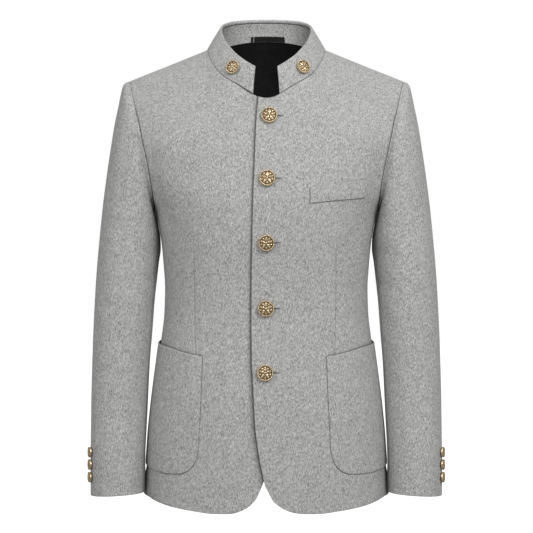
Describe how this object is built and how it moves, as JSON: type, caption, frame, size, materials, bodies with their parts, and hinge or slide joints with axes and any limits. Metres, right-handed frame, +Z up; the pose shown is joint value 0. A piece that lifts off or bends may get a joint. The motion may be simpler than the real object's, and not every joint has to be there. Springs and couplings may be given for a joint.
{
  "type": "mandarin collar blazer",
  "caption": "Hollow wool blazer with a short stand-up collar, metal buttons down the front, patch pockets, a breast welt and two-piece sleeves, in its worn form",
  "frame": {"origin": "the middle plane at the height of the two points where the shoulder seams meet the collar, where the shoulders carry it", "axes": "+Z up, -Y to the front, +X to the wearer's left"},
  "size_m": [0.555, 0.2556, 0.7731],
  "materials": {
    "wool": "light grey melange wool, softly felted",
    "lining": "black satin lining",
    "button": "antique gold with dark recesses"
  },
  "bodies": {
    "root": {"front_left": "wool", "front_right": "wool", "back_left": "wool", "back_right": "wool", "back_lining": "lining", "sleeve_top_left": "wool", "sleeve_top_right": "wool", "sleeve_under_left": "wool", "sleeve_under_right": "wool", "collar": "wool", "collar_facing": "wool", "hanger_loop": "lining", "patch_pocket_left": "wool", "patch_pocket_right": "wool", "chest_welt": "wool", "front_button_1": "button", "front_button_2": "button", "front_button_3": "button", "front_button_4": "button", "front_button_5": "button", "collar_button_left": "button", "collar_button_right": "button", "cuff_button_left_1": "button", "cuff_button_left_2": "button", "cuff_button_left_3": "button", "cuff_button_right_1": "button", "cuff_button_right_2": "button", "cuff_button_right_3": "button"}
  },
  "joints": []
}
